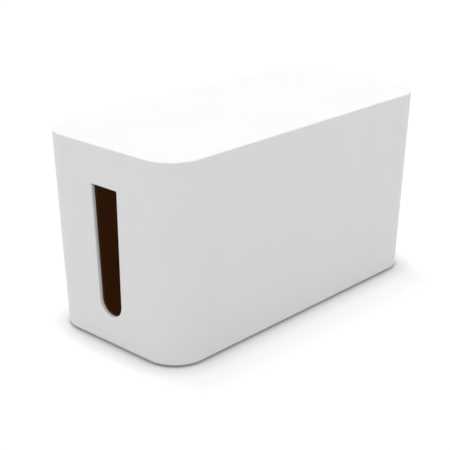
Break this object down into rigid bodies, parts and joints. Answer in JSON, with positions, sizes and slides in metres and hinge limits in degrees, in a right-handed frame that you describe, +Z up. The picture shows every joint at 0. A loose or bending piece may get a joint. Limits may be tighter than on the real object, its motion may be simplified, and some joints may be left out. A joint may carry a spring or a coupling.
{
  "type": "cable management box",
  "caption": "White cable management box with a lift-off lid and a cable slot in each end, lined in dark plastic, holding a switched power strip.",
  "frame": {"origin": "centre of the floor under the feet, below the middle of the box", "axes": "+X along the box, away from the power strip's inlet; +Y across it, from the front wall to the rear wall; +Z up"},
  "size_m": [0.24, 0.116, 0.1275],
  "materials": {
    "white_shell": "fine satin moulded ABS, white",
    "dark_liner": "matt moulded flame-retardant plastic, dark brown",
    "foot_rubber": "matt moulded rubber",
    "screw_steel": "zinc-plated steel",
    "strip_shell": "fine textured moulded ABS, white",
    "outlet_insert": "polished moulded polycarbonate, off-white",
    "contact_brass": "stamped brass",
    "switch_black": "moulded nylon, black",
    "rocker_red": "polished moulded polycarbonate, red",
    "tinned_tab": "tinned brass",
    "breaker_black": "moulded thermoset, black",
    "nut_chrome": "nickel-plated, bright",
    "button_black": "moulded acetal, black",
    "spring_steel": "drawn spring steel",
    "lens_green": "clear moulded acrylic, green",
    "lamp_clear": "clear epoxy",
    "board_green": "glass-epoxy board, green mask",
    "varistor_blue": "dipped epoxy, blue",
    "fuse_white": "ceramic, white",
    "capacitor_yellow": "boxed film capacitor, yellow",
    "inlet_black": "moulded nylon, black",
    "wire_live": "soft vinyl insulation, brown",
    "wire_neutral": "soft vinyl insulation, blue",
    "wire_earth": "soft vinyl insulation, green and yellow"
  },
  "bodies": {
    "root": {"outer_case": "white_shell", "inner_liner": "dark_liner", "foot_front_left": "foot_rubber", "foot_front_right": "foot_rubber", "foot_rear_left": "foot_rubber", "foot_rear_right": "foot_rubber", "liner_screws": "screw_steel", "cover_screws": "screw_steel", "strip_base": "strip_shell", "strip_cover": "strip_shell", "outlet_face_1": "outlet_insert", "outlet_face_2": "outlet_insert", "outlet_face_3": "outlet_insert", "outlet_face_4": "outlet_insert", "live_bar": "contact_brass", "neutral_bar": "contact_brass", "earth_bar": "contact_brass", "switch_housing": "switch_black", "switch_tabs": "tinned_tab", "breaker_body": "breaker_black", "breaker_nut": "nut_chrome", "breaker_tabs": "tinned_tab", "reset_spring": "spring_steel", "indicator_lens": "lens_green", "indicator_lamp": "lamp_clear", "surge_board": "board_green", "varistors": "varistor_blue", "thermal_fuse": "fuse_white", "filter_capacitor": "capacitor_yellow", "inlet_housing": "inlet_black", "inlet_prongs": "tinned_tab", "board_leads": "tinned_tab", "live_inlet_wire": "wire_live", "live_switch_wire": "wire_live", "live_bar_wire": "wire_live", "neutral_wire": "wire_neutral", "earth_wire": "wire_earth"},
    "lid": {"lid": "white_shell"},
    "rocker": {"rocker": "rocker_red"},
    "button": {"reset_button": "button_black"}
  },
  "joints": [
    {"name": "lid_lift", "type": "slide", "parent": "root", "child": "lid", "axis": [0, 0, 1], "range_m": [0, 0.12]},
    {"name": "rocker_tilt", "type": "hinge", "parent": "root", "child": "rocker", "pos_m": [-0.02738, 0.009, 0.0389], "axis": [0, 1, 0], "range_deg": [0, 20]},
    {"name": "button_push", "type": "slide", "parent": "root", "child": "button", "axis": [0, 0, -1], "range_m": [0, 0.0022], "stiffness_N_per_m": 400, "springref_m": -0.003, "deforming": ["reset_spring"]}
  ]
}
